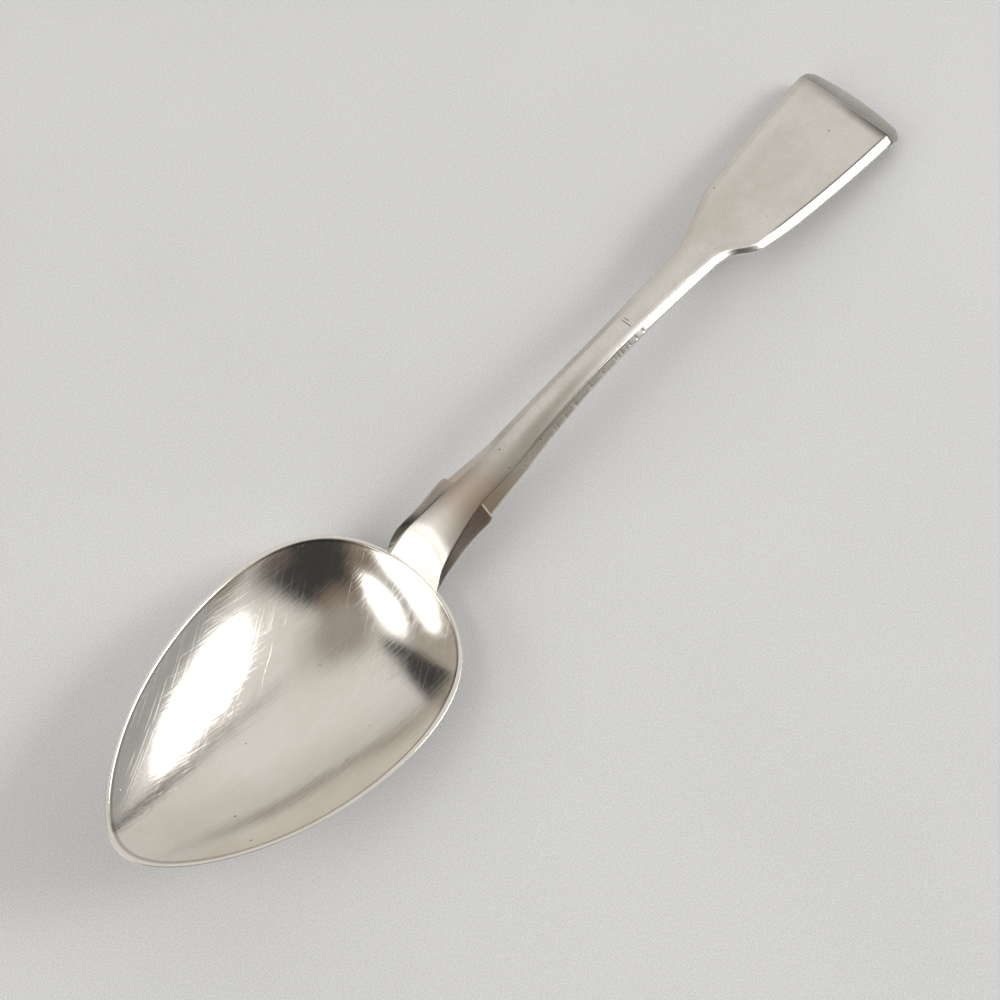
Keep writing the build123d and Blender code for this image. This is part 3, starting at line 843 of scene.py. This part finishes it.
def rim_painted_shade(tree, x, y, z):
    """Painted shade: a thin dark band along both edges of the bowl's rim, just below the rim's plane, which
    darkens the reflections there.
    """
    along_rim = math_node(tree, "MULTIPLY_ADD", x, tan(TILT), z)
    below = math_node(tree, "SUBTRACT", rim_height(MIDDLE), along_rim)
    film = within(tree, below, RIM_SHADE_TOP, RIM_SHADE_FOOT, RIM_SHADE_FADE)
    return math_node(tree, "MULTIPLY", film, RIM_SHADE)


# Painted shade in the neck's corner, the crease and along the right edges, with the two real cuts
def handle_shade_and_cuts(tree, x, y, z):
    shade_and_cuts = corner_painted_shade(tree, x, y)
    for film in (crease_painted_shade, edge_painted_shade, stem_painted_shade, cuts):
        shade_and_cuts = math_node(tree, "MAXIMUM", shade_and_cuts, film(tree, x, y))
    return shade_and_cuts


# Silver
# Painted brown shade by the lugs, the pits' specks, and the colour of the painted shade and cuts
LUG_PAINTED_BROWN, SPECK, SHADE_AND_CUT_COLOR = (0.60, 0.50, 0.42), (0.16, 0.13, 0.10), (0.15, 0.14, 0.125)
LUG_BROWN_CORE, LUG_BROWN_REACH, LUG_BROWN_SHARE = 1.0, 6.5, 0.9
PITS_PER_MM, PIT_CORE, PIT_EDGE = 0.35, 0.026, 0.052
WORN_START, WORN_FULL, BRUSH_END = LUGS - 2.0, LUGS + 8.0, LUGS + 10.0
BUMP_HEIGHT = 0.02          # height of the relief at full strength

# Cells of each pattern per millimetre along x, y and z, and turns in degrees
CLOUD_CELLS, FILM_CELLS, GRAIN_CELLS = (0.09, 0.16, 0.16), (0.6, 0.9, 0.9), (5.0, 5.0, 5.0)
ALONG_CELLS, ACROSS_CELLS, ALONG_TURN = (0.07, 5.0, 0.6), (3.0, 0.25, 0.6), 4
LONG_LINE_CELLS, LONG_LINE_TURN = (0.03, 13.0, 0.3), 9
SHORT_LINE_CELLS, SHORT_LINE_TURN = (0.10, 15.0, 0.3), -28

# Values between which a pattern shows, and how much it gives
LONG_LINE_RANGE, SHORT_LINE_RANGE = (0.64, 0.72), (0.71, 0.78)
TARNISH_RANGE, TARNISH_FILM = (0.45, 0.95), 0.35
GRAIN_RANGE, GRAIN_DULL = (0.35, 0.7), 0.5
TOP_FACE_RANGE = (0.15, 0.4)
FILM_ROUGH, LINE_ROUGH = 0.06, 0.03
ACROSS_RELIEF, GRAIN_RELIEF, LINE_RELIEF, PIT_RELIEF = 0.2, 0.10, -0.14, -1.5


def silver_lines(tree, place):
    """Hairline scratches: long ones nearly along the spoon, and short ones across them."""
    long_noise = stretched_noise(tree, place, LONG_LINE_CELLS, detail=1.0, roughness=0.5, turn=LONG_LINE_TURN)
    short_noise = stretched_noise(tree, place, SHORT_LINE_CELLS, detail=0.0, roughness=0.5,
                                  turn=SHORT_LINE_TURN)
    long_lines = ranged(tree, long_noise, *LONG_LINE_RANGE)
    return math_node(tree, "MAXIMUM", long_lines, ranged(tree, short_noise, *SHORT_LINE_RANGE))


def silver_color(tree, axes, bright, dull, cloud, film, grain, speck, shade_and_cuts):
    """Bright silver, dulled in clouds and grains, with painted brown shade by the lugs, specks, and the
    painted shade and cuts given.
    """
    tarnish = ranged(tree, math_node(tree, "MULTIPLY_ADD", film, TARNISH_FILM, cloud), *TARNISH_RANGE)
    color = mixed_color(tree, tarnish, bright, dull)
    color = mixed_color(tree, ranged(tree, grain, *GRAIN_RANGE, 0.0, GRAIN_DULL), color, dull)
    # painted brown shade by the lugs
    by_lugs = math_node(tree, "ABSOLUTE", math_node(tree, "SUBTRACT", axes[0], LUGS - MIDDLE))
    brown = ranged(tree, by_lugs, LUG_BROWN_CORE, LUG_BROWN_REACH, LUG_BROWN_SHARE, 0.0)
    color = mixed_color(tree, brown, color, LUG_PAINTED_BROWN)
    color = mixed_color(tree, speck, color, SPECK)
    return mixed_color(tree, shade_and_cuts(tree, *axes), color, SHADE_AND_CUT_COLOR)


def silver_roughness(tree, axes, polished, worn_rough, brushed, film, lines):
    """Rougher along the handle, on the neck's top faces, under the film and in scratches."""
    base = ranged(tree, axes[0], WORN_START - MIDDLE, WORN_FULL - MIDDLE, polished, worn_rough)
    facing = add(tree, "ShaderNodeSeparateXYZ")
    tree.links.new(add(tree, "ShaderNodeNewGeometry").outputs["Normal"], facing.inputs[0])
    sideways = math_node(tree, "ABSOLUTE", facing.outputs["Y"])
    on_neck = ranged(tree, axes[0], LUGS - MIDDLE, BRUSH_END - MIDDLE, 1.0, 0.0)
    brush = math_node(tree, "MULTIPLY", ranged(tree, sideways, *TOP_FACE_RANGE, brushed, 0.0), on_neck)
    base = math_node(tree, "ADD", base, brush)
    uneven = math_node(tree, "MULTIPLY_ADD", film, FILM_ROUGH, -FILM_ROUGH / 2)
    return math_node(tree, "MULTIPLY_ADD", lines, LINE_ROUGH, math_node(tree, "ADD", uneven, base))


def silver_bump(tree, scratch, along, across, grain, lines, speck):
    """Fine relief of polishing marks, grain, scratches and pits."""
    height = math_node(tree, "MULTIPLY_ADD", across, ACROSS_RELIEF, along)
    for pattern, relief in ((grain, GRAIN_RELIEF), (lines, LINE_RELIEF), (speck, PIT_RELIEF)):
        height = math_node(tree, "MULTIPLY_ADD", pattern, relief, height)
    bump = add(tree, "ShaderNodeBump", Strength=scratch)
    bump.inputs["Distance"].default_value = BUMP_HEIGHT * MM
    tree.links.new(height, bump.inputs["Height"])
    return bump.outputs["Normal"]


def silver(name, bright, dull, polished, worn_rough, brushed, scratch, shade_and_cuts):
    """Old silver: polished is its roughness by the bowl, worn_rough along the handle, and brushed is added on
    the neck's top faces."""
    material = bpy.data.materials.new(name)
    material.use_nodes = True
    tree = material.node_tree
    shader = tree.nodes["Principled BSDF"]
    shader.inputs["Metallic"].default_value = 1.0
    place = millimetres(tree)
    split = add(tree, "ShaderNodeSeparateXYZ")
    tree.links.new(place, split.inputs[0])
    axes = tuple(split.outputs)

    cloud = stretched_noise(tree, place, CLOUD_CELLS, detail=3.0)
    film = stretched_noise(tree, place, FILM_CELLS, detail=5.0, roughness=0.65)
    along = stretched_noise(tree, place, ALONG_CELLS, detail=4.0, roughness=0.6, turn=ALONG_TURN)
    across = stretched_noise(tree, place, ACROSS_CELLS, detail=5.0, roughness=0.6)
    grain = stretched_noise(tree, place, GRAIN_CELLS, detail=3.0, roughness=0.6)
    lines = silver_lines(tree, place)
    pits = add(tree, "ShaderNodeTexVoronoi", Scale=PITS_PER_MM, Randomness=1.0)
    tree.links.new(place, pits.inputs["Vector"])
    speck = ranged(tree, pits.outputs["Distance"], PIT_CORE, PIT_EDGE, 1.0, 0.0)

    color = silver_color(tree, axes, bright, dull, cloud, film, grain, speck, shade_and_cuts)
    rough = silver_roughness(tree, axes, polished, worn_rough, brushed, film, lines)
    normal = silver_bump(tree, scratch, along, across, grain, lines, speck)
    for result, socket in ((color, "Base Color"), (rough, "Roughness"), (normal, "Normal")):
        tree.links.new(result, shader.inputs[socket])
    return material


bowl.data.materials.append(silver(
    "bowl_silver", bright=(0.88, 0.855, 0.81), dull=(0.80, 0.765, 0.70), polished=0.12, worn_rough=0.12,
    brushed=0.0, scratch=0.7, shade_and_cuts=rim_painted_shade))
handle.data.materials.append(silver(
    "handle_silver", bright=(0.83, 0.81, 0.77), dull=(0.67, 0.64, 0.58), polished=0.21, worn_rough=0.27,
    brushed=0.11, scratch=0.5, shade_and_cuts=handle_shade_and_cuts))

for piece, node, finish in ((bowl, "bowl", "bowl_silver"), (handle, "handle", "handle_silver")):
    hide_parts(node)
    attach(piece, "root")

# Table
TABLE_HALF = 3.0            # metres
TABLE_DARK, TABLE_LIGHT = (0.622, 0.632, 0.647), (0.89, 0.902, 0.92)
FIBRES_PER_MM, PATCHES_PER_MM, PATCH_SHARE = 5.0, 0.02, 0.12
TONE_RANGE, PAPER_ROUGHNESS = (0.2, 0.8), 0.7


def table_paper():
    material = bpy.data.materials.new("table_paper")
    material.use_nodes = True
    tree = material.node_tree
    shader = tree.nodes["Principled BSDF"]
    shader.inputs["Roughness"].default_value = PAPER_ROUGHNESS
    place = millimetres(tree)
    fibres = stretched_noise(tree, place, (FIBRES_PER_MM,) * 3, detail=5.0)
    patches = stretched_noise(tree, place, (PATCHES_PER_MM,) * 3, detail=2.0)
    fine = math_node(tree, "MULTIPLY", fibres, 1 - PATCH_SHARE)
    tone = math_node(tree, "MULTIPLY_ADD", patches, PATCH_SHARE, fine)
    color = mixed_color(tree, ranged(tree, tone, *TONE_RANGE), TABLE_DARK, TABLE_LIGHT)
    tree.links.new(color, shader.inputs["Base Color"])
    return material


table_mesh = bpy.data.meshes.new("table")
table_corners = [(x * TABLE_HALF, y * TABLE_HALF, 0) for x, y in ((-1, -1), (1, -1), (1, 1), (-1, 1))]
table_mesh.from_pydata(table_corners, [], [(0, 1, 2, 3)])
table_mesh.materials.append(table_paper())
table = bpy.data.objects.new("table", table_mesh)
bpy.context.scene.collection.objects.link(table)


# Light: windows on both sides, and a room that gives soft light and shows in the silver. Directions are in
# degrees: azimuth from +x towards +y, and zenith down from straight above.
def window(name, azimuth, zenith, width, height, radiance, distance=1.6):
    """An oval lamp that faces the spoon, so many degrees wide and high as seen from it."""
    data = bpy.data.lights.new(name, "AREA")
    data.shape = "ELLIPSE"
    data.size = 2 * distance * tan(radians(width / 2))
    data.size_y = 2 * distance * tan(radians(height / 2))
    data.energy = radiance * pi * data.size * data.size_y * pi / 4
    lamp = bpy.data.objects.new(name, data)
    a, z = radians(azimuth), radians(zenith)
    direction = Vector((cos(a) * sin(z), sin(a) * sin(z), cos(z)))
    lamp.location = direction * distance
    lamp.rotation_euler = direction.to_track_quat("Z", "Y").to_euler()
    lamp.visible_camera = False
    bpy.context.scene.collection.objects.link(lamp)


window("window_main", azimuth=-40, zenith=59, width=38, height=20, radiance=3.4)
window("window_core", azimuth=-42, zenith=53, width=20, height=12, radiance=8.5, distance=1.5)
window("window_high", azimuth=160, zenith=31, width=46, height=16, radiance=2.0)
window("window_low", azimuth=157, zenith=58, width=64, height=18, radiance=1.8)

PALE, CEILING, GREY, DARK = (0.75, 0.73, 0.70), (0.35, 0.32, 0.28), (0.36, 0.35, 0.33), (0.05, 0.05, 0.048)
FAR_WALL, FAR_SHADE, NEAR_WALL = (0.63, 0.61, 0.575), (0.30, 0.27, 0.24), (0.37, 0.37, 0.36)
LEDGE, LEFT_WALL, BRIGHT_WALL = (0.24, 0.23, 0.22), (0.40, 0.36, 0.31), (1.3, 1.28, 1.25)
BROWN, RED_BROWN, OLIVE = (0.24, 0.19, 0.15), (0.14, 0.11, 0.10), (0.27, 0.24, 0.18)
STRIP_NORMAL = (-0.986, 0.023, -0.163)      # a dark strip lies along a great circle about this direction
STRIP_BREADTHS, STRIP_ZENITHS, STRIP_SOFT = (0.06, 0.125), (25, 62), (0.9, 1.1)
STRIP_ZONE = (45, 135), (27, 112), (5, 3)
CEILING_EDGE = (10, 32)

world = bpy.data.worlds.new("room")
bpy.context.scene.world = world
world.use_nodes = True
tree = world.node_tree
coordinates = add(tree, "ShaderNodeTexCoord")
toward = add(tree, "ShaderNodeSeparateXYZ")
tree.links.new(coordinates.outputs["Generated"], toward.inputs[0])
azimuth = math_node(tree, "DEGREES", math_node(tree, "ARCTAN2", toward.outputs["Y"], toward.outputs["X"]))
zenith = math_node(tree, "DEGREES", math_node(tree, "ARCCOSINE", toward.outputs["Z"]))


def zone(azimuths, zeniths, softness):
    """1 in a patch of the room, fading over the softness in azimuth and in zenith."""
    return math_node(tree, "MULTIPLY", within(tree, azimuth, *azimuths, softness[0]),
                     within(tree, zenith, *zeniths, softness[1]))


def dark_strip():
    """A strip that widens downwards."""
    aside = add(tree, "ShaderNodeVectorMath", operation="DOT_PRODUCT")
    tree.links.new(coordinates.outputs["Generated"], aside.inputs[0])
    aside.inputs[1].default_value = STRIP_NORMAL
    breadth = ranged(tree, zenith, *STRIP_ZENITHS, *STRIP_BREADTHS)
    share = math_node(tree, "DIVIDE", math_node(tree, "ABSOLUTE", aside.outputs["Value"]), breadth)
    inside = ranged(tree, share, *STRIP_SOFT, 1.0, 0.0)
    return math_node(tree, "MULTIPLY", inside, zone(*STRIP_ZONE))


# Each patch of the room: its colour, azimuths, zeniths and softness, later ones over earlier ones
room = mixed_color(tree, ranged(tree, zenith, *CEILING_EDGE, 1.0, 0.0), PALE, CEILING)
for color, azimuths, zeniths, softness in (
    (FAR_WALL, (0, 90), (64, 110), (8, 12)),
    (FAR_SHADE, (46, 76), (81, 110), (12, 1.5)),
    (NEAR_WALL, (-75, -12), (73, 110), (4, 4)),
    (LEDGE, (-9, -4), (30, 100), (2, 8)),
    (DARK, (-10, -4), (58, 110), (2, 8)),
    (GREY, (112, 182), (39, 49), (6, 2)),
    (LEFT_WALL, (96, 143), (46, 92), (6, 6)),
    (BRIGHT_WALL, (142, 178), (66, 110), (5, 4)),
    (BROWN, (-174, -78), (14, 72), (6, 4)),
    (DARK, (-145, -74), (26, 70), (8, 4)),
    (RED_BROWN, (-96, -79), (57, 69), (3, 3)),
    (OLIVE, (-115, -66), (75, 95), (4, 2)),
):
    room = mixed_color(tree, zone(azimuths, zeniths, softness), room, color)
room = mixed_color(tree, dark_strip(), room, DARK)
tree.links.new(room, tree.nodes["Background"].inputs["Color"])

# Camera
TARGET = Vector((61.9 - MIDDLE, -1.91, 5.0)) * MM
DISTANCE = 220.1 * MM
ELEVATION, AZIMUTH, ROLL = radians(68.95), radians(41.745), radians(-1.005)
SENSOR, FOCAL_RATIO, CLIP_START = 36.0, 1.7658, 0.01        # the focal length is in sensor widths
forward = Vector((cos(AZIMUTH) * cos(ELEVATION), sin(AZIMUTH) * cos(ELEVATION), -sin(ELEVATION)))
right = Vector((sin(AZIMUTH), -cos(AZIMUTH), 0.0))
up = right.cross(forward)
turned_right = cos(ROLL) * right + sin(ROLL) * up
turned_up = -sin(ROLL) * right + cos(ROLL) * up
camera_data = bpy.data.cameras.new("camera")
camera_data.sensor_width = SENSOR
camera_data.lens = SENSOR * FOCAL_RATIO
camera_data.clip_start = CLIP_START
camera = bpy.data.objects.new("camera", camera_data)
axes = Matrix((turned_right, turned_up, -forward)).transposed().to_4x4()
camera.matrix_world = Matrix.Translation(TARGET - DISTANCE * forward) @ axes
bpy.context.scene.collection.objects.link(camera)
bpy.context.scene.camera = camera
bpy.context.scene.view_settings.view_transform = "Standard"

bpy.context.view_layer.update()
